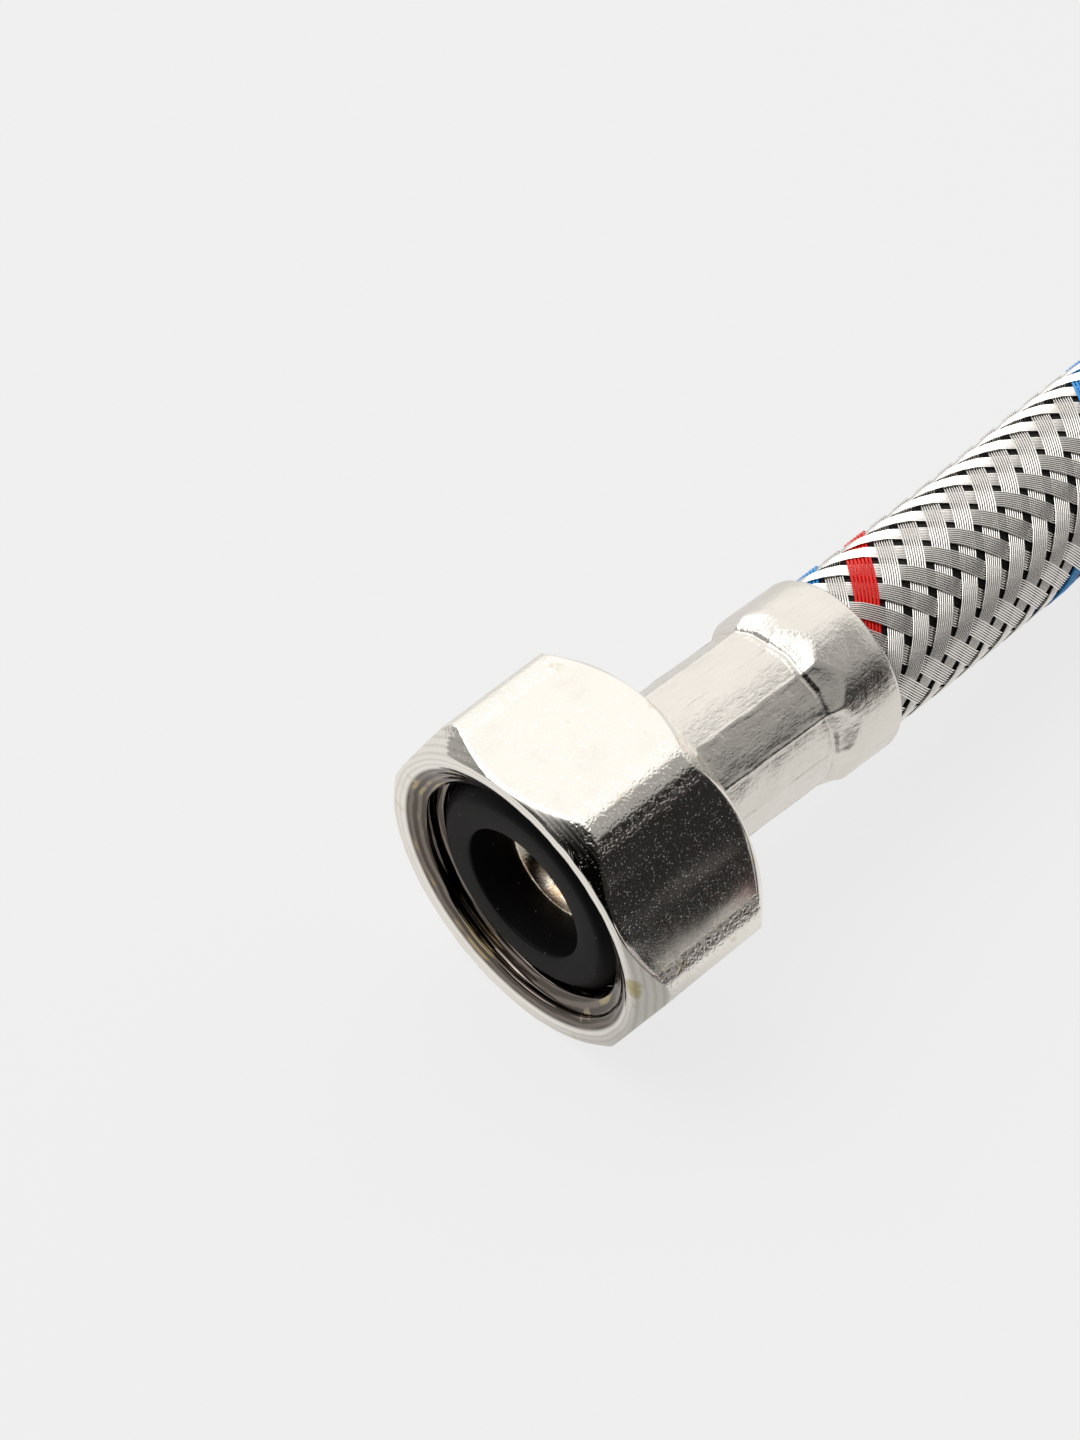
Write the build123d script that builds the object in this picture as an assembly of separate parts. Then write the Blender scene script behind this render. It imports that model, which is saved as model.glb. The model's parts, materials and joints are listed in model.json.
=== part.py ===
from build123d import *
import os
from math import atan2, cos, degrees, pi, radians, tan

# A braided supply line: a rubber tube in a braided sleeve, with a crimped ferrule, a barbed nipple,
# a thick washer and a loose G 1/2 swivel nut at each end. Millimetres, +Z up, standing on Z = 0.
# The near end lies along X with its mouth towards -X. The origin is under the middle of the near end.

# Swivel nut
across_flats = 25.0
nut_length = 12.8
nut_back_wall = 2.8
thread_minor_radius = 9.316     # G 1/2, cut 1.814 pitch, 10.478 major radius
mouth_radius = 11.8
mouth_lead = 1.2                # length of the cone that leads into the thread
rim_width = 0.6
chamfer_length = 1.55
neck_running_gap = 0.3          # radial, between the nut's back hole and the nipple's neck

# Washer
washer_setback = 1.0            # from the nut's mouth to the washer's front face
washer_thickness = 3.4
washer_bore_radius = 5.5
washer_radius = 9.0
washer_bevel = 1.1

# Nipple
nipple_bore_radius = 3.5
nipple_countersink = 0.9
flange_radius = 8.6
flange_thickness = 2.0
neck_radius = 6.3
stem_radius = 4.1
stem_wall_end_gap = 2.0         # the stem stops this far inside the ferrule's open end
groove_radius = 5.0
barb_setback = 1.0              # from the inside of the ferrule's lip to the first barb
barb_height = 0.3
barb_pitch = 3.0
barb_count = 4

# Ferrule
nut_to_ferrule_gap = 0.3
lip_thickness = 1.0
lip_height = 0.75               # how far the lip stands out from the crimp
crimp_length = 11.8
crimp_squeeze = 0.05            # how far the crimp's flats lie inside the hose's free radius
crimp_facets = 12
shoulder_length = 1.6
collar_length = 5.5
collar_gap = 0.3                # radial, between the collar and the hose
ferrule_wall = 0.45
collar_edge_radius = 0.3

# Hose
hose_radius = 6.6
braid_thickness = 0.7
tube_bore_radius = 4.4
floor_clearance = 0.1

# Places along the near fitting, measured from the nut's mouth
flange_front = washer_setback + washer_thickness
flange_back = flange_front + flange_thickness
nut_floor_depth = nut_length - nut_back_wall
lip_front = nut_length + nut_to_ferrule_gap
lip_back = lip_front + lip_thickness
crimp_end = lip_back + crimp_length
shoulder_end = crimp_end + shoulder_length
fitting_length = shoulder_end + collar_length
stem_end = fitting_length - stem_wall_end_gap

# Radii that follow from the pieces they fit
tube_radius = hose_radius - braid_thickness
crimp_radius = hose_radius - crimp_squeeze
crimp_bore_radius = crimp_radius - ferrule_wall
crimped_tube_radius = crimp_bore_radius - braid_thickness / 2
collar_bore_radius = hose_radius + collar_gap
collar_radius = collar_bore_radius + ferrule_wall
lip_radius = crimp_radius + lip_height

axis_height = across_flats / 2
exit_x = fitting_length / 2
lying_height = hose_radius + floor_clearance

# The hose's route from the near ferrule, clockwise round an open loop, to the far ferrule
route = [
    (exit_x, 0, axis_height),
    (30, 0, axis_height),
    (51, -0.4, 10.9),
    (83, -5, 7.8),
    (111, -24, lying_height),
    (126, -56, lying_height),
    (126, -90, lying_height),
    (111, -122, lying_height),
    (82, -141, lying_height),
    (48, -145, 7.2),
    (20, -136, 10.2),
    (2, -123.5, axis_height),
    (-7, -114.3, axis_height),
]


def turned(outline):
    """Solid turned about the X axis from an outline of (x, radius) points."""
    face = make_face(Polyline(*outline, close=True))
    return revolve(face, Axis.X)


def swivel_nut():
    """Hexagon with both ends chamfered, a plain bore at the thread's minor radius and a back hole."""
    flat_radius = across_flats / 2
    corner_radius = flat_radius / cos(pi / 6)
    hexagon = Plane.YZ * RegularPolygon(flat_radius, 6, major_radius=False)
    envelope = turned([
        (0, 0),
        (0, mouth_radius + rim_width),
        (chamfer_length, corner_radius),
        (nut_length - chamfer_length, corner_radius),
        (nut_length, mouth_radius + rim_width),
        (nut_length, 0),
    ])
    bore = turned([
        (0, 0),
        (0, mouth_radius),
        (mouth_lead, thread_minor_radius),
        (nut_floor_depth, thread_minor_radius),
        (nut_floor_depth, neck_radius + neck_running_gap),
        (nut_length, neck_radius + neck_running_gap),
        (nut_length, 0),
    ])
    return (extrude(hexagon, nut_length) & envelope) - bore


def washer():
    """Thick rubber washer with a bevelled front edge."""
    return turned([
        (washer_setback, washer_bore_radius),
        (washer_setback, washer_radius - washer_bevel),
        (washer_setback + washer_bevel, washer_radius),
        (flange_front, washer_radius),
        (flange_front, washer_bore_radius),
    ])


def nipple():
    """Flanged, countersunk insert: neck through the nut, groove for the lip, barbed stem in the tube."""
    barb_root = lip_back + barb_setback
    barbs = []
    for index in range(barb_count):
        barb_start = barb_root + index * barb_pitch
        barbs += [(barb_start, stem_radius + barb_height), (barb_start + barb_pitch, stem_radius)]
    return turned([
        (flange_front, nipple_bore_radius + nipple_countersink),
        (flange_front, flange_radius),
        (flange_back, flange_radius),
        (flange_back, neck_radius),
        (lip_front, neck_radius),
        (lip_front, groove_radius),
        (lip_back, groove_radius),
        (lip_back, stem_radius),
        (barb_root, stem_radius),
        *barbs,
        (stem_end, stem_radius),
        (stem_end, nipple_bore_radius),
        (flange_front + nipple_countersink, nipple_bore_radius),
    ])


def ferrule():
    """Thin sleeve: lip turned in behind the neck, twelve-sided crimp, shoulder and round collar."""
    shell = turned([
        (lip_front, groove_radius),
        (lip_front, lip_radius),
        (lip_back, lip_radius),
        (lip_back, crimp_radius),
        (crimp_end, crimp_radius),
        (shoulder_end, collar_radius),
        (fitting_length - collar_edge_radius, collar_radius),
        (fitting_length, collar_radius - collar_edge_radius),
        (fitting_length, groove_radius),
    ])
    facets = Plane.YZ.offset(lip_back) * RegularPolygon(
        crimp_radius, crimp_facets, major_radius=False)
    bore = turned([
        (lip_back, 0),
        (lip_back, crimp_bore_radius),
        (crimp_end, crimp_bore_radius),
        (shoulder_end, collar_bore_radius),
        (fitting_length, collar_bore_radius),
        (fitting_length, 0),
    ])
    return (shell + extrude(facets, crimp_length)) - bore


def corner_radii(points):
    """Largest even bend at each corner: 0.45 of the shorter run over the tangent of half the turn."""
    radii = []
    for before, corner, after in zip(points, points[1:], points[2:]):
        run_in = Vector(*corner) - Vector(*before)
        run_out = Vector(*after) - Vector(*corner)
        half_turn = radians(run_in.get_angle(run_out)) / 2
        radii.append(0.45 * min(run_in.length, run_out.length) / tan(half_turn))
    return radii


def swept_ring(path, outer_radius, bore_radius):
    """Tube with a constant section along the path."""
    start = Plane(origin=path @ 0, z_dir=path % 0)
    ring = start * (Circle(outer_radius) - Circle(bore_radius))
    return sweep(ring, path)


def tube_end():
    """Stretch of rubber tube that the ferrule squeezes on the barbed stem."""
    blank = turned([
        (lip_back, stem_radius),
        (lip_back, crimped_tube_radius),
        (crimp_end, crimped_tube_radius),
        (shoulder_end, tube_radius),
        (fitting_length, tube_radius),
        (fitting_length, tube_bore_radius),
        (stem_end, tube_bore_radius),
        (stem_end, stem_radius),
    ])
    return blank - nipple()


def braid_end():
    """Stretch of braid between the squeezed tube and the ferrule."""
    return turned([
        (lip_back, crimped_tube_radius),
        (lip_back, crimp_bore_radius),
        (crimp_end, crimp_bore_radius),
        (shoulder_end, hose_radius),
        (fitting_length, hose_radius),
        (fitting_length, tube_radius),
        (shoulder_end, tube_radius),
        (crimp_end, crimped_tube_radius),
    ])


# The near end, and where the far end goes: its mouth points on along the route's last run
near_place = Location((-fitting_length / 2, 0, axis_height))
last_run = (Vector(*route[-1]) - Vector(*route[-2])).normalized()
far_mouth = Vector(*route[-1]) + last_run * fitting_length
far_heading = degrees(atan2(-last_run.Y, -last_run.X))
far_place = Location(far_mouth, (0, 0, far_heading))

radii = corner_radii(route)
hose_path = FilletPolyline(*route, radius=radii)

parts = {}
for end, place in (("near", near_place), ("far", far_place)):
    parts[f"{end}_swivel_nut"] = place * swivel_nut()
    parts[f"{end}_washer"] = place * washer()
    parts[f"{end}_nipple"] = place * nipple()
    parts[f"{end}_ferrule"] = place * ferrule()

parts["rubber_tube"] = (
    swept_ring(hose_path, tube_radius, tube_bore_radius)
    + near_place * tube_end()
    + far_place * tube_end()
)
parts["braid_sleeve"] = (
    swept_ring(hose_path, hose_radius, tube_radius)
    + near_place * braid_end()
    + far_place * braid_end()
)

os.makedirs("parts", exist_ok=True)
for node, shape in parts.items():
    export_step(shape, f"parts/{node}.step")

free_length = hose_path.length
overall_length = free_length + 2 * fitting_length
free_braid_volume = pi * (hose_radius ** 2 - tube_radius ** 2) * free_length
swept_volume = swept_ring(hose_path, hose_radius, tube_radius).volume
print("bend radii:", [round(radius, 1) for radius in radii])
print("free hose", round(free_length, 1), "mm, from mouth to mouth", round(overall_length, 1), "mm")
print("swept braid", round(swept_volume, 1), "mm3, section x length", round(free_braid_volume, 1), "mm3")
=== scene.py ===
import json
import math

import bmesh
import bpy
import numpy as np
from mathutils import Matrix, Vector, noise


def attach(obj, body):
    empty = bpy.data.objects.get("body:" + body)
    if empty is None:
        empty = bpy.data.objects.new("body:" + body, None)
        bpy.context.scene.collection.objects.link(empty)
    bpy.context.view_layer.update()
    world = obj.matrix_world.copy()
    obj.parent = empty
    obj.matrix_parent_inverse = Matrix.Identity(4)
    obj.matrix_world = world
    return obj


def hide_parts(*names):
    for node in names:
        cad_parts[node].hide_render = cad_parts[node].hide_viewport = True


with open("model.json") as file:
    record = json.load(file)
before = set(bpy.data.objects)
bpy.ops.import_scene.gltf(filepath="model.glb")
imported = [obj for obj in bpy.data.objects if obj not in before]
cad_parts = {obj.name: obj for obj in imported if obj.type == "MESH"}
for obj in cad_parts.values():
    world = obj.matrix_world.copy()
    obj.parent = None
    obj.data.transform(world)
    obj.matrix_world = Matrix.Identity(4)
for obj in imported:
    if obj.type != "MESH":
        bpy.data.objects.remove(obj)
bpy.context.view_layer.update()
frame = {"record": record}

MM = 0.001
TAU = 2 * math.pi
MOUNTS = {mount["name"]: mount for mount in frame["record"]["mounts"]}

# ---------------------------------------------------------------- sizes, in millimetres
# Each end fitting is modelled along +X from the nut's mouth, then put in its place.

ACROSS_FLATS = 25.0
CORNER_ROUND = 2.4              # radius of the hexagon's rolled corners
CORNER_START = 13.35            # beyond this radius the plate is worn as a corner
NUT_LENGTH = 12.8
NUT_FLOOR = 10.0
NECK_HOLE_RADIUS = 6.6
RIM_RADIUS = 12.4
RIM_INNER_RADIUS = 11.5
CHAMFER_SLOPE = 0.92            # radius gained per millimetre along the chamfer
THREAD_MAJOR_RADIUS = 10.478
THREAD_MINOR_RADIUS = 9.316
THREAD_PITCH = 1.814
THREAD_LEAD_IN = 1.1

WASHER_FRONT = 1.0
WASHER_BACK = 4.4
WASHER_RADIUS = 9.0
WASHER_BORE = 5.5

FLANGE_RADIUS = 8.6
FLANGE_BACK = 6.4
NECK_RADIUS = 6.3
BORE_RADIUS = 3.5
STEM_RADIUS = 4.1
STEM_END = 31.0
BARBS = 4
BARB_RADIUS = 4.4
BARB_LENGTH = 3.0

LIP_FRONT = 13.1
LIP_BACK = 14.1
LIP_CREASE = 14.9
CRIMP_END = 25.9
SHOULDER_END = 27.5
FITTING_LENGTH = 33.0
CRIMP_RADIUS = 6.5
COLLAR_RADIUS = 7.35
COLLAR_BORE = 6.9
FACETS = 12

TUBE_RADIUS = 6.2
TUBE_OVERHANG = 2               # how far the tube runs on into each ferrule
TUBE_RING_SPACING = 1.2
TUBE_SIDES = 48
BRAID_RADIUS = 6.42             # middle of the woven layer
WEAVE_HEIGHT = 0.115             # how far a ribbon rises and dips from the middle
RIBBONS_EACH_WAY = 12
BRAID_LEAD = 32.4               # length along the hose in which a ribbon goes round once
BRAID_ANGLE = math.atan(TAU * BRAID_RADIUS / BRAID_LEAD)
WIRE_SIDES = 6
ROWS_PER_MILLIMETRE = 1.52      # how finely the wires follow the weave
RIBBON_OVERHANG = 3.0           # how far the ribbons run on into each ferrule
STEEL_WIRES = 8
STEEL_WIRE = 0.15
STEEL_SPACING = 0.183
NYLON_WIRES = 7
NYLON_WIRE = 0.25
NYLON_SPACING = 0.275
RED_ANGLE = math.radians(35)    # where the red tracer leaves the ferrule, from the top towards -Y
WEAVE_START = -1                # which crossing the over-two, under-two count begins at

# The near end of the hose sags in its loose nut: its fitting tilts about a point inside the nut
SAG_TILT = 0.052                # radians
SAG_PIVOT = 8.0

# The hose's route, from the near ferrule round to the far one, in metres
ROUTE = [
    (0.0165, 0, 0.0112),
    (0.0295, 0, 0.0106),
    (0.051, 0.0018, 0.0092),
    (0.074, 0.0012, 0.0079),
    (0.097, -0.008, 0.0069),
    (0.115, -0.026, 0.0067),
    (0.125, -0.052, 0.0067),
    (0.126, -0.080, 0.0067),
    (0.118, -0.107, 0.0067),
    (0.099, -0.128, 0.0067),
    (0.074, -0.140, 0.0069),
    (0.046, -0.144, 0.0080),
    (0.020, -0.136, 0.0107),
    (0.002, -0.1235, 0.0125),
    (-0.007, -0.1143, 0.0125),
]


def place_of_end(end):
    """Matrix from an end fitting's own millimetres to the frame: X from the mouth to the hose, Z up."""
    seal = MOUNTS[f"{end}_seal"]
    inward = -Vector(seal["axis"]).normalized()
    up = Vector((0, 0, 1))
    across = up.cross(inward)
    thread = Vector(MOUNTS[f"{end}_thread"]["pos_m"])
    along = (Vector(seal["pos_m"]) - thread).dot(inward)
    mouth = thread + inward * (along - WASHER_FRONT * MM)
    turn = Matrix((inward, across, up)).transposed().to_4x4()
    return Matrix.Translation(mouth) @ turn @ Matrix.Scale(MM, 4)


PLACES = {end: place_of_end(end) for end in ("near", "far")}
PIVOT_PLACE = Matrix.Translation((SAG_PIVOT, 0, 0))
SAG = PIVOT_PLACE @ Matrix.Rotation(SAG_TILT, 4, "Y") @ PIVOT_PLACE.inverted()
HOSE_PLACES = {"near": PLACES["near"] @ SAG, "far": PLACES["far"]}

# Where the plate is stained, as a point in the nut's own millimetres and a size
STAINS = (
    ((0.3, -12.1, 1.2), 0.75),
    ((0.3, -12.2, 0.4), 0.75),
    ((11.5, -12.5, -1.9), 0.6),
    ((12.2, -10.3, -7.3), 0.4),
)


def smooth(value, low, high):
    """0 below low, 1 above high, eased in between."""
    t = min(max((value - low) / (high - low), 0), 1)
    return t * t * (3 - 2 * t)


def soft_min(a, b, blend):
    """The smaller of two radii, rounded off where they are within blend of each other."""
    h = max(blend - abs(a - b), 0) / blend
    return min(a, b) - h * h * blend / 4


# ---------------------------------------------------------------- camera

CAMERA_AZIMUTH = math.radians(-40.482)
CAMERA_ELEVATION = math.radians(48.585)
CAMERA_ROLL = math.radians(-4.554)
CAMERA_DISTANCE = 300
CAMERA_RIGHT = 1.99             # the mouth's middle lies this far left of the view's, and lower by
CAMERA_UP = 12.95
LENS = 105.39
SENSOR_HEIGHT = 36


def aim_camera():
    """Camera at the working distance, looking down the hose from the nut's open end."""
    azimuth, elevation, roll = CAMERA_AZIMUTH, CAMERA_ELEVATION, CAMERA_ROLL
    back = Vector((
        math.sin(azimuth) * math.cos(elevation),
        -math.cos(azimuth) * math.cos(elevation),
        math.sin(elevation)))
    level = Vector((math.cos(azimuth), math.sin(azimuth), 0))
    rise = back.cross(level)
    right = level * math.cos(roll) + rise * math.sin(roll)
    up = rise * math.cos(roll) - level * math.sin(roll)
    mouth = PLACES["near"].to_translation()
    data = bpy.data.cameras.new("camera")
    data.sensor_fit = "VERTICAL"
    data.sensor_height = SENSOR_HEIGHT
    data.lens = LENS
    data.clip_start = 0.01
    camera = bpy.data.objects.new("camera", data)
    turn = Matrix((right, up, back)).transposed().to_4x4()
    offset = back * CAMERA_DISTANCE * MM + right * CAMERA_RIGHT * MM + up * CAMERA_UP * MM
    camera.matrix_world = Matrix.Translation(mouth + offset) @ turn
    bpy.context.scene.collection.objects.link(camera)
    bpy.context.scene.camera = camera


# ---------------------------------------------------------------- shader expressions

class Sock:
    """A node socket that arithmetic can be written on."""

    def __init__(self, tree, socket):
        self.tree = tree
        self.socket = socket

    def math(self, operation, *others):
        return node(self.tree, "ShaderNodeMath", {"operation": operation}, [self, *others])

    def __add__(self, other):
        return self.math("ADD", other)

    def __sub__(self, other):
        return self.math("SUBTRACT", other)

    def __rsub__(self, other):
        return node(self.tree, "ShaderNodeMath", {"operation": "SUBTRACT"}, [other, self])

    def __mul__(self, other):
        return self.math("MULTIPLY", other)

    __radd__ = __add__
    __rmul__ = __mul__

    def power(self, exponent):
        return self.math("POWER", exponent)

    def step(self, low, high):
        """0 below low and 1 above high, eased in between; high may be the lower one."""
        if low > high:
            return 1 - self.step(high, low)
        settings = {"interpolation_type": "SMOOTHSTEP"}
        inputs = {"Value": self, "From Min": low, "From Max": high}
        return node(self.tree, "ShaderNodeMapRange", settings, inputs)

    def band(self, low, high, edge):
        """1 between low and high, fading over edge outside them."""
        return self.step(low - edge, low) * self.step(high + edge, high)


def node(tree, kind, settings=None, inputs=None, output=0):
    """Adds a node, sets it up, then gives its sockets values or links, and returns an output."""
    made = tree.nodes.new(kind)
    for key, value in (settings or {}).items():
        setattr(made, key, value)
    pairs = inputs.items() if isinstance(inputs, dict) else enumerate(inputs or [])
    for key, value in pairs:
        if isinstance(value, Sock):
            tree.links.new(value.socket, made.inputs[key])
        else:
            made.inputs[key].default_value = value
    return Sock(tree, made.outputs[output])


def parts_of(vector):
    """The X, Y and Z of a vector socket."""
    x = node(vector.tree, "ShaderNodeSeparateXYZ", None, [vector])
    return [Sock(vector.tree, output) for output in x.socket.node.outputs]


def blend_colours(factor, first, second):
    """Mixes two colours, each a tuple or a socket."""
    tree = factor.tree
    colours = [c if isinstance(c, Sock) else (*c, 1) for c in (first, second)]
    settings = {"data_type": "RGBA"}
    return node(tree, "ShaderNodeMix", settings, {0: factor, 6: colours[0], 7: colours[1]}, 2)


class Finish:
    """A material being made: its tree, its coordinates and its Principled shader."""

    def __init__(self, name):
        self.material = bpy.data.materials.new(name)
        self.material.use_nodes = True
        self.tree = self.material.node_tree
        self.shader = self.tree.nodes["Principled BSDF"]
        self.object_place = node(self.tree, "ShaderNodeTexCoord", output="Object")

    def own_place(self):
        """The place on a turned piece, in the piece's own millimetres."""
        settings = {"attribute_name": "own_place"}
        return node(self.tree, "ShaderNodeAttribute", settings, output="Vector")

    def x_and_radius(self, own):
        """How far along the piece's axis a place lies, and how far from the axis."""
        x, y, z = parts_of(own)
        return x, (y * y + z * z).power(0.5)

    def noise(self, place, scale, detail=2.0, roughness=0.5, distortion=0.0):
        """Noise of about the given number of blobs per unit of place."""
        settings = {"noise_dimensions": "3D"}
        inputs = {"Vector": place, "Scale": scale, "Detail": detail, "Roughness": roughness,
                  "Distortion": distortion}
        return node(self.tree, "ShaderNodeTexNoise", settings, inputs)

    def cells(self, place, scale):
        """Distance to the nearest of many scattered points."""
        settings = {"feature": "F1"}
        return node(self.tree, "ShaderNodeTexVoronoi", settings, {"Vector": place, "Scale": scale})

    def turned(self, place, turn, scale):
        """Coordinates turned, then shrunk by a size for each axis, for marks that run one way."""
        inputs = {"Vector": place, "Rotation": turn, "Scale": scale}
        return node(self.tree, "ShaderNodeMapping", {"vector_type": "TEXTURE"}, inputs)

    def strokes(self, place, turn, length, width, cover):
        """Scattered short marks that lie along one direction: 1 on a mark's middle line, 0 off it."""
        lying = self.turned(place, turn, (length, width, width))
        return self.cells(lying, 1.0).step(cover, cover * 0.3)

    def crossed_strokes(self, place, length, width, cover, turns):
        """Marks in several directions, none brighter than 1."""
        marks = self.strokes(place, turns[0], length, width, cover)
        for turn in turns[1:]:
            marks = marks.math("MAXIMUM", self.strokes(place, turn, length, width, cover))
        return marks

    def spot(self, place, centre, size):
        """1 within about size of a point, with a ragged edge."""
        settings = {"operation": "DISTANCE"}
        away = node(self.tree, "ShaderNodeVectorMath", settings, [place, centre], "Value")
        ragged = away + self.noise(place, 1.6, 3.0, 0.6) * size
        return ragged.step(size * 1.5, size * 1.1)

    def bump(self, height, distance):
        """A bump of the given height, with its depth at height 1 in metres."""
        inputs = {"Height": height, "Distance": distance, "Strength": 1.0}
        return node(self.tree, "ShaderNodeBump", None, inputs)

    def set(self, **sockets):
        """Gives the shader's sockets values or links, by name with _ for a space."""
        for key, value in sockets.items():
            socket = self.shader.inputs[key.replace("_", " ")]
            if isinstance(value, Sock):
                self.tree.links.new(value.socket, socket)
            else:
                socket.default_value = (*value, 1) if isinstance(value, tuple) else value
        return self.material


# ---------------------------------------------------------------- finishes

# Directions in which scratches lie
TURNS = ((0.3, 0.5, 0.4), (1.3, 0.2, 1.9), (0.2, 1.5, 2.8), (2.2, 0.9, 0.7), (0.8, 2.4, 1.2))


def nickel_finish():
    """Bright nickel plate with fine random scratches, a turned rim and small stains; inside, a brass tint
    darkened to dark brown as painted shade of the nut's hollow, with darker painted shade lines.
    """
    f = Finish("nickel_plate")
    own = f.own_place()
    x, radius = f.x_and_radius(own)
    hairs = f.crossed_strokes(own, 3.2, 0.26, 0.125, TURNS)
    dents = f.crossed_strokes(own, 0.8, 0.34, 0.40, TURNS[:3])
    cloud = f.noise(own, 0.35, 3.0, 0.6)
    grime = f.noise(own, 1.4, 3.0, 0.6)
    wall = radius.step(RIM_RADIUS - 0.4, RIM_RADIUS - 0.2)
    thread = radius.step(RIM_INNER_RADIUS - 0.05, RIM_INNER_RADIUS - 0.4)
    corner = radius.step(CORNER_START, CORNER_START + 0.25)
    rim = radius.band(RIM_INNER_RADIUS, RIM_RADIUS + 0.1, 0.1) * x.step(0.6, 0.1)
    plate = blend_colours(cloud.step(0.45, 0.75), (0.95, 0.93, 0.88), (0.90, 0.875, 0.82))
    # Inside colour: a brass tint darkened to dark brown, partly the brass and partly painted shade of the
    # nut's hollow
    tint = blend_colours(f.noise(own, 0.30, 2.0).step(0.52, 0.66), (0.21, 0.18, 0.16), (0.42, 0.34, 0.20))
    # Darker lines across the inside: painted shade lines; the same lines also make a bump
    lines = (x * 21 + f.noise(own, 0.4) * 4).math("SINE")
    tint = blend_colours(lines.step(-0.5, 0.7), (0.10, 0.085, 0.075), tint)
    turning = (radius * 15 + cloud * 4).math("SINE")
    chamfer = (radius - x * CHAMFER_SLOPE).step(RIM_RADIUS - 0.1, RIM_RADIUS)
    machined = radius.step(RIM_INNER_RADIUS, RIM_INNER_RADIUS + 0.1) * chamfer
    machined = machined.math("MAXIMUM", rim)
    plate = blend_colours(machined * turning.step(-0.2, 1.0) * 0.3, plate, (0.50, 0.475, 0.44))
    colour = blend_colours(thread, plate, tint)
    stain = f.noise(own, 0.42, 2.0, 0.5, 0.4).step(0.66, 0.72)
    colour = blend_colours(stain * 0.35, colour, (0.70, 0.60, 0.38))
    for centre, size in STAINS:
        colour = blend_colours(f.spot(own, centre, size) * 0.75, colour, (0.56, 0.47, 0.20))
    rough = 0.055 + 0.02 * cloud + 0.03 * hairs * wall + 0.08 * corner + 0.02 * grime * wall
    rings = (radius * 26).math("SINE")
    height = hairs * wall * 0.55 - dents * corner * 1.5 + rings * machined * 0.12 + lines * thread * 0.8
    return f.set(Base_Color=colour, Metallic=1.0, Roughness=rough,
                 Normal=f.bump(height, 0.000010))


def washer_finish():
    """Moulded black rubber with a faint grey bloom and specks of dust."""
    f = Finish("washer_rubber")
    own = f.own_place()
    bloom = f.noise(own, 0.6, 3.0, 0.6)
    dust = f.cells(own, 1.1).step(0.065, 0.04)
    colour = blend_colours(bloom, (0.003, 0.003, 0.0032), (0.008, 0.008, 0.0085))
    colour = blend_colours(dust * 0.6, colour, (0.35, 0.34, 0.32))
    fine = f.noise(own, 12.0, 2.0)
    return f.set(Base_Color=colour, Roughness=0.42 + 0.12 * bloom, Specular_IOR_Level=0.08,
                 Normal=f.bump(fine + dust * 2, 0.00001))


def nipple_finish():
    """Turned brass under thin nickel, with tool rings and a warm tint."""
    f = Finish("nipple_plate")
    own = f.own_place()
    x, radius = f.x_and_radius(own)
    cloud = f.noise(own, 0.8, 3.0, 0.6)
    colour = blend_colours(cloud.step(0.4, 0.6), (0.80, 0.72, 0.60), (0.55, 0.41, 0.28))
    rings = (radius * 22 + x * 22).math("SINE")
    return f.set(Base_Color=colour, Metallic=1.0, Roughness=0.12 + 0.14 * cloud,
                 Normal=f.bump(rings + f.noise(own, 5.0) * 3, 0.000006))


def ferrule_finish():
    """Satin stainless steel, mottled by drawing and crimping."""
    f = Finish("ferrule_steel")
    own = f.own_place()
    drawn = f.noise(f.turned(own, (0, 0, 0), (1.8, 0.28, 0.28)), 1.0, 3.0, 0.6)
    mottle = f.noise(own, 1.3, 3.0, 0.6)
    pits = f.noise(own, 3.6, 3.0, 0.7)
    cloud = f.noise(own, 0.5, 2.0, 0.5)
    colour = blend_colours(cloud, (0.86, 0.835, 0.79), (0.78, 0.755, 0.705))
    colour = blend_colours(drawn.step(0.55, 0.75) * 0.25, colour, (0.62, 0.59, 0.54))
    rough = 0.10 + 0.09 * mottle + 0.07 * pits
    height = mottle + 0.55 * pits + 0.5 * drawn
    return f.set(Base_Color=colour, Metallic=1.0, Roughness=rough, Normal=f.bump(height, 0.000045))


def wire_finish():
    """Bright drawn stainless wire."""
    f = Finish("braid_wire")
    tone = f.noise(f.object_place, 900.0, 1.0)
    colour = blend_colours(tone, (0.78, 0.765, 0.74), (0.90, 0.885, 0.86))
    return f.set(Base_Color=colour, Metallic=1.0, Roughness=0.13)


def nylon_finish(name, deep, bright):
    """Dyed nylon filament, opaque and softly glossy."""
    f = Finish(name)
    tone = f.noise(f.object_place, 700.0, 1.0)
    colour = blend_colours(tone, deep, bright)
    return f.set(Base_Color=colour, Roughness=0.35, Specular_IOR_Level=0.3)


def tube_finish():
    """Matt black rubber."""
    f = Finish("tube_rubber")
    bloom = f.noise(f.object_place, 900.0, 3.0)
    colour = blend_colours(bloom, (0.006, 0.006, 0.006), (0.013, 0.013, 0.013))
    return f.set(Base_Color=colour, Roughness=0.6, Specular_IOR_Level=0.3,
                 Normal=f.bump(bloom, 0.00003))


# ---------------------------------------------------------------- turned pieces

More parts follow.
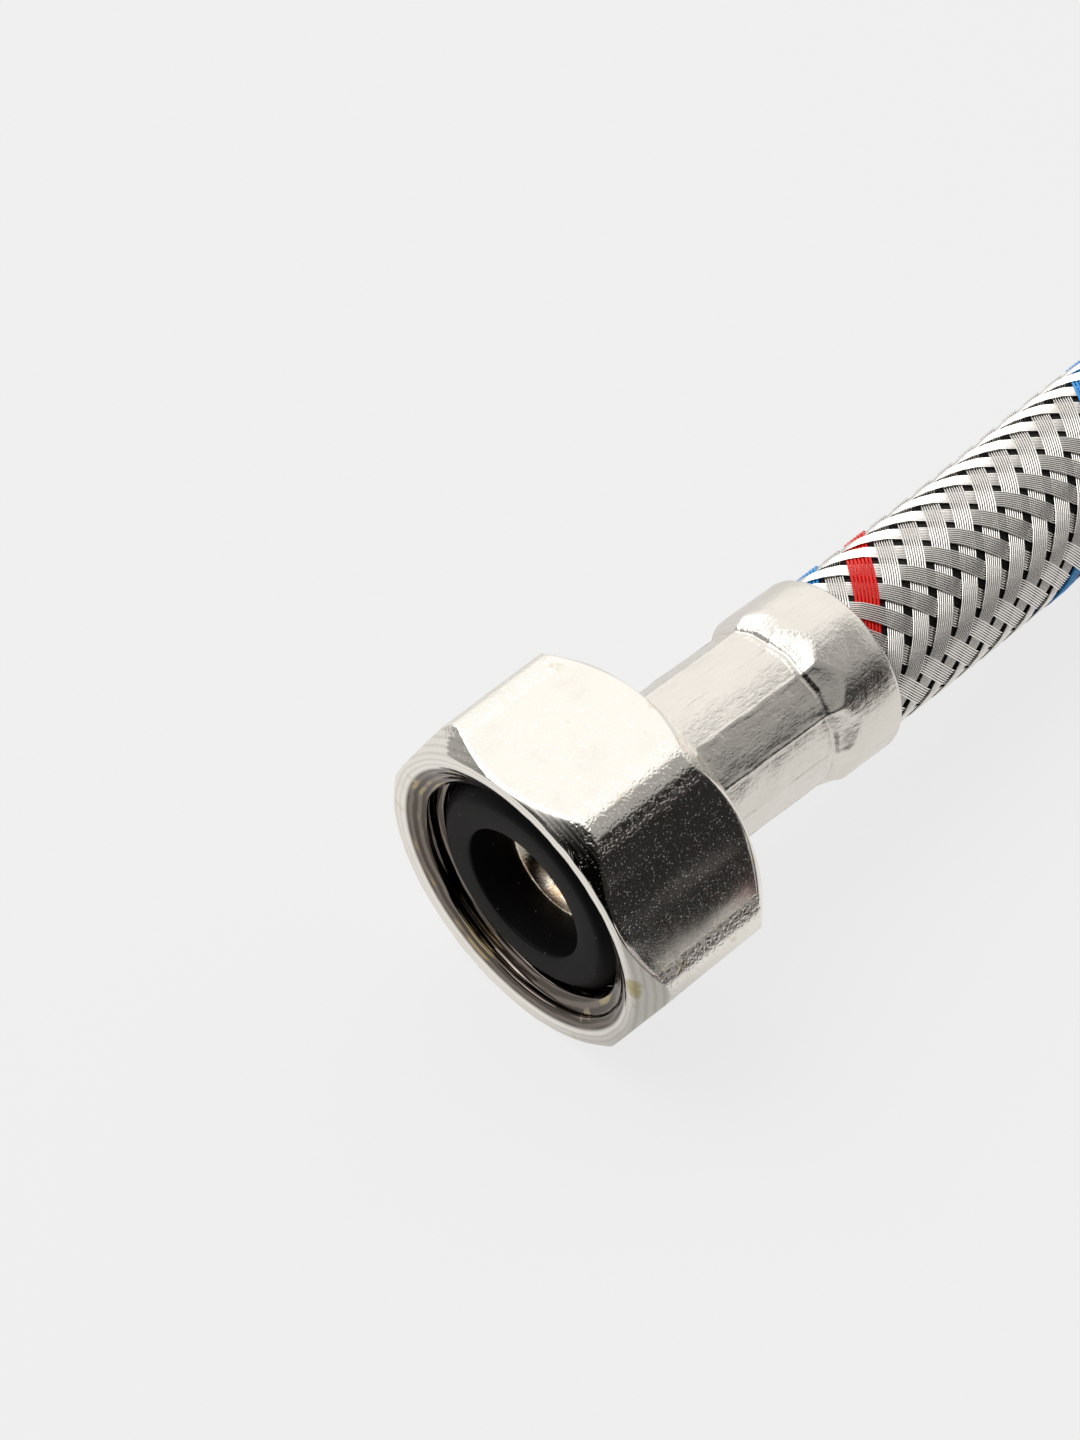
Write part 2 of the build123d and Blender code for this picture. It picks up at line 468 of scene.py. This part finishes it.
def spun(name, outline, steps, place, reshape=None, rounding=None):
    """Spins a closed outline of (x, radius) about X, reshapes it, and puts it in its place.

    rounding gives the outline's corners, by index, the radius that rounds them off."""
    bm = bmesh.new()
    corners = [bm.verts.new((x, 0, radius)) for x, radius in outline]
    for first, second in zip(corners, corners[1:] + corners[:1]):
        bm.edges.new((first, second))
    for radius in sorted(set((rounding or {}).values())):
        chosen = [corners[i] for i, r in rounding.items() if r == radius]
        bmesh.ops.bevel(bm, geom=chosen, offset=radius, offset_type="OFFSET", segments=4,
                        profile=0.5, affect="VERTICES", material=-1)
    bmesh.ops.spin(bm, geom=bm.verts[:] + bm.edges[:], cent=(0, 0, 0), axis=(1, 0, 0),
                   angle=TAU, steps=steps, use_merge=True)
    bmesh.ops.remove_doubles(bm, verts=bm.verts, dist=1e-5)
    if reshape:
        for v in bm.verts:
            radius = math.hypot(v.co.y, v.co.z)
            angle = math.atan2(-v.co.y, v.co.z)
            x, radius = reshape(v.co.x, radius, angle)
            v.co = (x, -radius * math.sin(angle), radius * math.cos(angle))
    bmesh.ops.recalc_face_normals(bm, faces=bm.faces)
    mesh = bpy.data.meshes.new(name)
    bm.to_mesh(mesh)
    bm.free()
    own = mesh.attributes.new("own_place", "FLOAT_VECTOR", "POINT")
    coordinates = np.empty(len(mesh.vertices) * 3, np.float32)
    mesh.vertices.foreach_get("co", coordinates)
    own.data.foreach_set("vector", coordinates)
    mesh.transform(place)
    mesh.shade_smooth()
    piece = bpy.data.objects.new(name, mesh)
    bpy.context.scene.collection.objects.link(piece)
    return piece


def hexagon_radius(angle):
    """Radius of the nut's rolled-corner hexagon, with flats at the top and bottom."""
    flat = ACROSS_FLATS / 2
    sixth = math.pi / 3
    off_flat = abs((angle + sixth / 2) % sixth - sixth / 2)
    centre = (flat - CORNER_ROUND) / math.cos(sixth / 2)
    off_corner = sixth / 2 - off_flat
    reach = CORNER_ROUND ** 2 - (centre * math.sin(off_corner)) ** 2
    on_flat = flat / math.cos(off_flat)
    if reach <= 0 or flat * math.tan(off_flat) < centre * math.sin(sixth / 2):
        return on_flat
    return centre * math.cos(off_corner) + math.sqrt(reach)


def thread_radius(x, angle):
    """Radius of the internal pipe thread: rounded 55 degree grooves along a helix."""
    turn = (x / THREAD_PITCH - angle / TAU) % 1
    wave = 0.5 + 0.62 * math.cos(TAU * turn)
    wave = min(max(wave, 0), 1)
    depth = THREAD_MAJOR_RADIUS - THREAD_MINOR_RADIUS
    groove = THREAD_MINOR_RADIUS + depth * (wave * wave * (3 - 2 * wave))
    lead_in = RIM_INNER_RADIUS - (RIM_INNER_RADIUS - THREAD_MINOR_RADIUS) * x / THREAD_LEAD_IN
    return max(groove, lead_in)


# The outside wall's points have this radius until reshape_nut moves them. Their x runs 0 to 1 over the
# front chamfer, 1 to 2 over the flat and 2 to 3 over the back chamfer.
OUTSIDE = 20.0


def reshape_nut(x, radius, angle):
    """Turns the spun wall into a chamfered hexagon outside and a pipe thread inside."""
    if radius > OUTSIDE - 1:
        hexagon = hexagon_radius(angle)
        cut = (hexagon - RIM_RADIUS) / CHAMFER_SLOPE
        if x <= 1:
            x = x * cut
        elif x < 2:
            x = cut + (x - 1) * (NUT_LENGTH - 2 * cut)
        else:
            x = NUT_LENGTH - (3 - x) * cut
        front = RIM_RADIUS + CHAMFER_SLOPE * x
        back = RIM_RADIUS + CHAMFER_SLOPE * (NUT_LENGTH - x)
        radius = soft_min(hexagon, min(front, back), 0.14)
        wear = noise.noise(Vector((x * 0.35, math.sin(angle) * 5, math.cos(angle) * 5)))
        return x, radius + 0.025 * wear
    if THREAD_MINOR_RADIUS - 0.01 < radius < THREAD_MINOR_RADIUS + 0.01 and x < NUT_FLOOR - 0.05:
        return x, thread_radius(x, angle)
    if radius > RIM_INNER_RADIUS - 0.2 and x < 0.5:
        burr = noise.noise(Vector((math.sin(angle) * 14, math.cos(angle) * 14, radius)))
        return x - 0.05 * max(burr, 0), radius + 0.03 * burr
    return x, radius


def make_nut(end):
    """Loose swivel nut: rolled-corner hexagon, chamfers, thin rim, pipe thread and back hole."""
    chamfer = [(t, OUTSIDE) for t in (0.12, 0.4, 0.7, 0.88, 0.96, 1.0)]
    flat = [(1 + t, OUTSIDE) for t in (0.012, 0.035, 0.1, 0.3, 0.5, 0.7, 0.9, 0.965, 0.988)]
    back = [(2 + t, OUTSIDE) for t in (0.0, 0.04, 0.12, 0.3, 0.6, 0.88)]
    thread = [(float(x), THREAD_MINOR_RADIUS) for x in np.arange(NUT_FLOOR - 0.1, 0.15, -0.11)]
    outline = [
        (0.04, RIM_INNER_RADIUS + 0.02), (0, RIM_INNER_RADIUS + 0.1),
        (0, RIM_RADIUS - 0.3), (0, RIM_RADIUS - 0.08), (0.02, RIM_RADIUS - 0.01),
        *chamfer, *flat, *back,
        (NUT_LENGTH, RIM_RADIUS - 0.1), (NUT_LENGTH, 9.0), (NUT_LENGTH, NECK_HOLE_RADIUS + 0.3),
        (NUT_LENGTH - 0.3, NECK_HOLE_RADIUS), (NUT_FLOOR, NECK_HOLE_RADIUS),
        (NUT_FLOOR, THREAD_MINOR_RADIUS + 0.5), *thread, (0.12, RIM_INNER_RADIUS - 0.1),
    ]
    return spun(f"{end}_nut", outline, 240, PLACES[end], reshape_nut)


def make_washer(end):
    """Thick moulded washer with a bevelled front edge and softened corners."""
    outline = [
        (WASHER_FRONT, WASHER_BORE), (WASHER_FRONT, WASHER_RADIUS - 1.1),
        (WASHER_FRONT + 1.0, WASHER_RADIUS), (WASHER_BACK, WASHER_RADIUS),
        (WASHER_BACK, WASHER_BORE),
    ]
    rounding = {0: 0.22, 1: 0.35, 2: 0.35, 3: 0.15, 4: 0.15}
    return spun(f"{end}_washer_seal", outline, 128, PLACES[end], rounding=rounding)


def make_nipple(end):
    """Flanged insert: countersunk face, neck through the nut, and barbed stem."""
    barbs = []
    for index in range(BARBS):
        start = LIP_BACK + 1.0 + index * BARB_LENGTH
        barbs += [(start, BARB_RADIUS), (start + BARB_LENGTH, STEM_RADIUS)]
    outline = [
        (WASHER_BACK, 4.5), (WASHER_BACK, FLANGE_RADIUS), (FLANGE_BACK, FLANGE_RADIUS),
        (FLANGE_BACK, NECK_RADIUS), (LIP_FRONT, NECK_RADIUS), (LIP_FRONT, 5.0), (LIP_BACK, 5.0),
        (LIP_BACK, STEM_RADIUS), (LIP_BACK + 1.0, STEM_RADIUS), *barbs, (STEM_END, STEM_RADIUS),
        (STEM_END, BORE_RADIUS), (WASHER_BACK + 1.0, BORE_RADIUS),
    ]
    rounding = {0: 0.25, 1: 0.2, 2: 0.2}
    return spun(f"{end}_nipple_insert", outline, 128, HOSE_PLACES[end], rounding=rounding)


# How far each jaw of the crimping tool has pressed in, from the top facet round
JAW_DEPTHS = [0.03, 0.0, 0.03, 0.0, -0.02, 0.03, -0.03, 0.02, 0.0, -0.03, 0.02, -0.01]
CRIMP_TURN = math.radians(3)


def reshape_ferrule(x, radius, angle):
    """Presses twelve flats, their ridges and their scoops in the shoulder into the spun sleeve."""
    if radius < COLLAR_BORE + 0.06:
        return x, radius
    around = (math.sin(angle), math.cos(angle))
    jaw = (angle + CRIMP_TURN) / TAU * FACETS
    number = math.floor(jaw) % FACETS
    off_middle = (jaw % 1 - 0.5) * TAU / FACETS
    middle = 1 - abs(off_middle) / (math.pi / FACETS)
    waver = noise.noise(Vector((x * 0.45, number * 3.1, 2)))
    if x > SHOULDER_END + 1.6:
        return x, radius + 0.03 * noise.noise(Vector((x * 0.25, around[0] * 2.2, around[1] * 2.2)))
    flat = CRIMP_RADIUS + JAW_DEPTHS[number] + 0.55 * CRIMP_RADIUS * (1 / math.cos(off_middle) - 1)
    sharpness = math.exp(-((middle + 0.05 * waver) / 0.10) ** 2)
    ridge = 0.075 * sharpness * smooth(x, 15.5, 17) * (0.55 + 1.2 * waver)
    lumps = 0.05 * noise.noise(Vector((x * 0.5, around[0] * 3.5, around[1] * 3.5)))
    body = flat + ridge + lumps
    crease = CRIMP_END + 0.35 + 0.28 * middle + 0.12 * waver
    beyond = x - crease
    scoop = 0.85 + 1.1 * math.sin(math.pi / 2 * middle) ** 0.8
    ramp = smooth(beyond, -0.1, scoop + 0.4)
    body += 0.07 * math.exp(-((beyond + 0.3) / 0.22) ** 2) * smooth(middle, 0, 0.3)
    shaped = body + (COLLAR_RADIUS - body) * (0.32 * smooth(beyond, -0.1, 0.3) + 0.68 * ramp)
    lip = smooth(x, LIP_CREASE - 0.1, LIP_CREASE + 0.25)
    return x, radius + (shaped - radius) * lip


def make_ferrule(end):
    """Crimped sleeve: turned-in lip, twelve pressed flats, scooped shoulder and round collar."""
    crimp_rings = np.arange(LIP_CREASE + 0.1, CRIMP_END - 0.6, 0.4)
    shoulder_rings = np.arange(CRIMP_END - 0.5, SHOULDER_END + 1.6, 0.08)
    crimp = [(float(x), CRIMP_RADIUS + 0.5) for x in crimp_rings]
    shoulder = [(float(x), COLLAR_RADIUS) for x in shoulder_rings]
    end_edge = FITTING_LENGTH
    outline = [
        (LIP_FRONT + 0.25, 5.3), (LIP_FRONT, 5.55), (LIP_FRONT, 5.9), (LIP_FRONT + 0.06, 6.5),
        (LIP_FRONT + 0.2, 6.82), (LIP_FRONT + 0.42, 7.0), (LIP_FRONT + 0.8, 7.04),
        (LIP_CREASE - 0.3, 7.02), (LIP_CREASE - 0.1, 7.0), (LIP_CREASE, 6.98), *crimp, *shoulder,
        (29.5, COLLAR_RADIUS), (31.5, COLLAR_RADIUS), (end_edge - 0.42, COLLAR_RADIUS),
        (end_edge - 0.2, COLLAR_RADIUS - 0.05), (end_edge - 0.05, COLLAR_RADIUS - 0.16),
        (end_edge, COLLAR_RADIUS - 0.3), (end_edge - 0.05, COLLAR_BORE + 0.05),
        (end_edge - 0.2, COLLAR_BORE), (SHOULDER_END, COLLAR_BORE), (CRIMP_END, 6.0),
        (LIP_BACK, 6.0), (LIP_BACK, 5.3),
    ]
    return spun(f"{end}_crimped_ferrule", outline, 288, HOSE_PLACES[end], reshape_ferrule)


# ---------------------------------------------------------------- hose

def route_line():
    """Points close together along the smooth route."""
    curve = bpy.data.curves.new("route", "CURVE")
    curve.dimensions = "3D"
    spline = curve.splines.new("NURBS")
    spline.points.add(len(ROUTE) - 1)
    for point, place in zip(spline.points, ROUTE):
        point.co = (*place, 1)
    spline.order_u = 3
    spline.use_endpoint_u = True
    spline.resolution_u = 24
    holder = bpy.data.objects.new("route", curve)
    bpy.context.scene.collection.objects.link(holder)
    bpy.context.view_layer.update()
    depsgraph = bpy.context.evaluated_depsgraph_get()
    line = bpy.data.meshes.new_from_object(holder.evaluated_get(depsgraph))
    points = np.array([v.co for v in line.vertices])
    bpy.data.objects.remove(holder)
    bpy.data.curves.remove(curve)
    bpy.data.meshes.remove(line)
    return points


class Hose:
    """The hose's centreline with a frame that doesn't twist, read at any length along it."""

    def __init__(self, points):
        self.points = points
        steps = np.linalg.norm(np.diff(points, axis=0), axis=1)
        lengths = np.concatenate([[0], np.cumsum(steps)])
        self.length = float(lengths[-1])
        self.samples = np.linspace(0, self.length, 1500)
        self.line = self.read(lengths, points, self.samples)
        along = np.gradient(self.line, axis=0)
        along /= np.linalg.norm(along, axis=1)[:, None]
        side = np.array([0.0, -1.0, 0.0])
        sides = []
        for direction in along:
            side = side - direction * side.dot(direction)
            side = side / np.linalg.norm(side)
            sides.append(side)
        self.along = along
        self.side = np.array(sides)
        self.up = np.cross(self.side, along)

    @staticmethod
    def read(lengths, values, where):
        return np.stack([np.interp(where, lengths, values[:, i]) for i in range(3)], axis=1)

    def on(self, length, angle, radius):
        """Places at lengths along the hose, angles from its top towards its side, and radii, in metres."""
        inside = np.clip(length, 0, self.length)
        centre = self.read(self.samples, self.line, inside)
        along = self.read(self.samples, self.along, inside)
        side = self.read(self.samples, self.side, inside)
        up = self.read(self.samples, self.up, inside)
        centre = centre + along * (length - inside)[:, None]
        return centre + (side * np.sin(angle)[:, None] + up * np.cos(angle)[:, None]) * radius[:, None]


def coordinates_of(mesh):
    """A mesh's points, as rows of x, y and z."""
    flat = np.empty(len(mesh.vertices) * 3)
    mesh.vertices.foreach_get("co", flat)
    return flat.reshape(-1, 3)


def make_tube(hose):
    """Black rubber tube that shows between the ribbons, closed at both ends."""
    bm = bmesh.new()
    rings = int(hose.length / (TUBE_RING_SPACING * MM))
    bmesh.ops.create_grid(bm, x_segments=rings, y_segments=TUBE_SIDES, size=0.5)
    mesh = bpy.data.meshes.new("hose_tube")
    bm.to_mesh(mesh)
    bm.free()
    flat = coordinates_of(mesh)
    reach = hose.length + 2 * TUBE_OVERHANG * MM
    length = (flat[:, 0] + 0.5) * reach - TUBE_OVERHANG * MM
    places = hose.on(length, -flat[:, 1] * TAU, np.full(len(flat), TUBE_RADIUS * MM))
    mesh.vertices.foreach_set("co", places.ravel())
    bm = bmesh.new()
    bm.from_mesh(mesh)
    bmesh.ops.remove_doubles(bm, verts=bm.verts, dist=1e-6)
    bmesh.ops.holes_fill(bm, edges=bm.edges, sides=0)
    bmesh.ops.recalc_face_normals(bm, faces=bm.faces)
    bm.to_mesh(mesh)
    bm.free()
    mesh.shade_smooth()
    piece = bpy.data.objects.new("hose_tube", mesh)
    bpy.context.scene.collection.objects.link(piece)
    return piece


def wire_bundle(count, thickness, rows, spacing):
    """Straight parallel wires along X, each a closed tube: x runs 0 to 1, y and z are millimetres."""
    bm = bmesh.new()
    for index in range(count):
        bmesh.ops.create_circle(bm, segments=WIRE_SIDES, radius=thickness / 2, cap_ends=True)
        ring = bm.verts[-WIRE_SIDES:]
        across = (index - (count - 1) / 2) * spacing
        bmesh.ops.rotate(bm, verts=ring, matrix=Matrix.Rotation(math.pi / 2, 3, "Y"))
        bmesh.ops.translate(bm, verts=ring, vec=(0, across, 0))
    grown = bm.edges[:]
    for _ in range(rows):
        made = bmesh.ops.extrude_edge_only(bm, edges=grown)["geom"]
        new_verts = [g for g in made if isinstance(g, bmesh.types.BMVert)]
        known = set(new_verts)
        edges = [g for g in made if isinstance(g, bmesh.types.BMEdge)]
        grown = [edge for edge in edges if all(v in known for v in edge.verts)]
        bmesh.ops.translate(bm, verts=new_verts, vec=(1 / rows, 0, 0))
    bmesh.ops.holes_fill(bm, edges=grown, sides=8)
    bmesh.ops.recalc_face_normals(bm, faces=bm.faces)
    mesh = bpy.data.meshes.new("wire_bundle")
    bm.to_mesh(mesh)
    bm.free()
    return mesh


def weave(phase):
    """Height of a ribbon, from -1 to 1: over two crossings, under the next two."""
    wave = np.sin(TAU * (phase + 0.5) / 4)
    return np.tanh(2.2 * wave) / math.tanh(2.2)


def lay_ribbon(hose, bundle, number, way):
    """Wraps a bundle of wires round the hose as one ribbon. way is -1 for one helix and 1 for the other."""
    flat = coordinates_of(bundle)
    reach = hose.length / MM + 2 * RIBBON_OVERHANG
    centre = flat[:, 0] * reach - RIBBON_OVERHANG
    along = centre - flat[:, 1] * math.sin(BRAID_ANGLE) * way
    angle = number * TAU / RIBBONS_EACH_WAY + way * centre * TAU / BRAID_LEAD
    angle = angle + flat[:, 1] * math.cos(BRAID_ANGLE) / BRAID_RADIUS
    crossing = (angle + way * along * TAU / BRAID_LEAD) * RIBBONS_EACH_WAY / TAU
    height = -way * weave(crossing + number + WEAVE_START)
    radius = BRAID_RADIUS + WEAVE_HEIGHT * height + flat[:, 2]
    return hose.on(along * MM, RED_ANGLE + angle, radius * MM)


def make_ribbons(name, hose, bundle, numbers, way):
    """Several ribbons of one helix as one piece."""
    bm = bmesh.new()
    for number in numbers:
        laid = bundle.copy()
        laid.vertices.foreach_set("co", lay_ribbon(hose, bundle, number, way).ravel())
        bm.from_mesh(laid)
        bpy.data.meshes.remove(laid)
    mesh = bpy.data.meshes.new(name)
    bm.to_mesh(mesh)
    bm.free()
    mesh.shade_smooth()
    piece = bpy.data.objects.new(name, mesh)
    bpy.context.scene.collection.objects.link(piece)
    return piece


# ---------------------------------------------------------------- surroundings

BACKDROP_TONE = 0.863           # how pale the backdrop looks to the camera
FLOOR_GLOW = 0.886              # how pale the floor looks to the camera
FLOOR_GLOW_SHARE = 0.88         # the rest of the floor's look is lit by the lamp, and takes the shadow
FLOOR_DROP = 0.00005            # metres, keeps the floor clear of what lies on it
WARM_WHITE = (1, 0.975, 0.945)


def make_stage():
    """Pale floor with a soft shadow. In reflections it is bright round the object and dark towards the
    front, and half as bright beside the nut's mouth."""
    bm = bmesh.new()
    bmesh.ops.create_grid(bm, x_segments=1, y_segments=1, size=3)
    mesh = bpy.data.meshes.new("floor")
    bm.to_mesh(mesh)
    bm.free()
    mesh.transform(Matrix.Translation((0, 0, -FLOOR_DROP)))
    floor = bpy.data.objects.new("floor", mesh)
    bpy.context.scene.collection.objects.link(floor)
    material = bpy.data.materials.new("pale_floor")
    material.use_nodes = True
    tree = material.node_tree
    tree.nodes.clear()
    toward_hose, toward_back, _ = parts_of(node(tree, "ShaderNodeTexCoord", output="Object"))
    camera_ray = node(tree, "ShaderNodeLightPath", output="Is Camera Ray")
    glossy_ray = node(tree, "ShaderNodeLightPath", output="Is Glossy Ray")
    lit = toward_back.step(-0.14, -0.035)
    lit = lit * (1 - 0.5 * toward_hose.step(0.004, -0.02) * toward_back.step(0.004, -0.012))
    strength = camera_ray * FLOOR_GLOW + glossy_ray * (0.06 + 0.72 * lit)
    tint = blend_colours(glossy_ray, (1, 1, 1), WARM_WHITE)
    diffuse = node(tree, "ShaderNodeBsdfDiffuse", None, {"Color": (0.8, 0.8, 0.8, 1)})
    glow = node(tree, "ShaderNodeEmission", None, {"Color": tint, "Strength": strength})
    shares = camera_ray * FLOOR_GLOW_SHARE + glossy_ray
    mixed = node(tree, "ShaderNodeMixShader", None, {0: shares, 1: diffuse, 2: glow})
    output = tree.nodes.new("ShaderNodeOutputMaterial")
    tree.links.new(mixed.socket, output.inputs["Surface"])
    mesh.materials.append(material)


def make_world():
    """Studio surroundings: pale to the camera. In reflections there is a white screen behind the
    object, a grey ceiling, a bright right side, a dark patch low on the left, a dark room elsewhere,
    and a softbox overhead that only reflections see."""
    world = bpy.data.worlds.new("studio")
    bpy.context.scene.world = world
    world.use_nodes = True
    tree = world.node_tree
    tree.nodes.clear()
    x, y, z = parts_of(node(tree, "ShaderNodeTexCoord", output="Generated"))
    screen = y.step(-0.16, 0.12)
    ceiling = z.step(0.34, 0.50)
    left_low = x.step(0.12, -0.28) * z.step(0.74, 0.42) * (0.7 + 0.3 * y.step(0.9, 0.4))
    softbox = (z * 0.93 - x * 0.36 + y * 0.05).step(0.88, 0.95)
    right_side = x.step(0.55, 0.80) * z.step(0.0, 0.2)
    room = 0.02 + 0.34 * ceiling + 0.45 * right_side
    reflected = (room * (1 - screen) + 1.06 * screen) * (1 - 0.92 * left_low)
    camera_ray = node(tree, "ShaderNodeLightPath", output="Is Camera Ray")
    glossy_ray = node(tree, "ShaderNodeLightPath", output="Is Glossy Ray")
    level = reflected * (1 - camera_ray) + 1.0 * softbox * glossy_ray + BACKDROP_TONE * camera_ray
    tint = blend_colours(camera_ray, (1, 0.975, 0.94), (1, 1, 1))
    light = node(tree, "ShaderNodeBackground", None, {"Color": tint, "Strength": level})
    output = tree.nodes.new("ShaderNodeOutputWorld")
    tree.links.new(light.socket, output.inputs["Surface"])


LAMP_PLACE = (-0.12, 0.36, 0.55)
LAMP_SIZE = 0.6
LAMP_WATTS = 1.8


def make_lights():
    """One large soft lamp above and behind the object."""
    place = Vector(LAMP_PLACE)
    data = bpy.data.lights.new("overhead", "AREA")
    data.shape = "SQUARE"
    data.size = LAMP_SIZE
    data.energy = LAMP_WATTS
    lamp = bpy.data.objects.new("overhead", data)
    lamp.location = place
    lamp.rotation_euler = place.to_track_quat("Z", "Y").to_euler()
    bpy.context.scene.collection.objects.link(lamp)


# ---------------------------------------------------------------- the supply line

def finished(piece, material, slot, body, *nodes):
    """Gives a piece its finish and its body, and hides the CAD nodes that it stands for."""
    piece.data.materials.append(material)
    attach(piece, body)
    if nodes:
        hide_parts(*nodes)
    return piece


aim_camera()

nickel = nickel_finish()
washer_rubber = washer_finish()
nipple_plate = nipple_finish()
ferrule_steel = ferrule_finish()
wire_steel = wire_finish()
red_nylon = nylon_finish("red_nylon", (0.70, 0.004, 0.003), (0.95, 0.02, 0.01))
blue_nylon = nylon_finish("blue_nylon", (0.02, 0.26, 0.70), (0.05, 0.42, 0.90))

for end in ("near", "far"):
    finished(
        make_nut(end), nickel, "nickel_plated_brass_nut", f"{end}_nut", f"{end}_swivel_nut")
    finished(
        make_washer(end), washer_rubber, "washer_rubber", f"{end}_gasket", f"{end}_washer")
    finished(
        make_nipple(end), nipple_plate, "nickel_plated_brass_nipple", "hose", f"{end}_nipple")
    finished(
        make_ferrule(end), ferrule_steel, "ferrule_steel", "hose", f"{end}_ferrule")

hose = Hose(route_line())
tube = finished(make_tube(hose), tube_finish(), "tube_rubber", "hose", "rubber_tube", "braid_sleeve")

rows = int(hose.length / MM * ROWS_PER_MILLIMETRE)
steel_bundle = wire_bundle(STEEL_WIRES, STEEL_WIRE, rows, STEEL_SPACING)
nylon_bundle = wire_bundle(NYLON_WIRES, NYLON_WIRE, rows, NYLON_SPACING)
red_number, blue_number = 0, RIBBONS_EACH_WAY - 2
steel = [n for n in range(RIBBONS_EACH_WAY) if n not in (red_number, blue_number)]
groups = [
    ("braid_a", steel[0:3], -1), ("braid_b", steel[3:6], -1), ("braid_c", steel[6:8], -1),
    ("braid_d", steel[8:10], -1), ("braid_e", range(0, 3), 1), ("braid_f", range(3, 6), 1),
    ("braid_g", range(6, 9), 1), ("braid_h", range(9, 12), 1),
]
tracers = (("red_tracer", red_number, red_nylon), ("blue_tracer", blue_number, blue_nylon))
for name, numbers, way in groups:
    ribbons = make_ribbons(name, hose, steel_bundle, numbers, way)
    finished(ribbons, wire_steel, "braid_wire", "hose", "braid_sleeve")
for name, number, material in tracers:
    ribbons = make_ribbons(name, hose, nylon_bundle, [number], -1)
    finished(ribbons, material, "braid_wire", "hose", "braid_sleeve")
bpy.data.meshes.remove(steel_bundle)
bpy.data.meshes.remove(nylon_bundle)

make_stage()
make_world()
make_lights()
bpy.context.scene.view_settings.view_transform = "Standard"
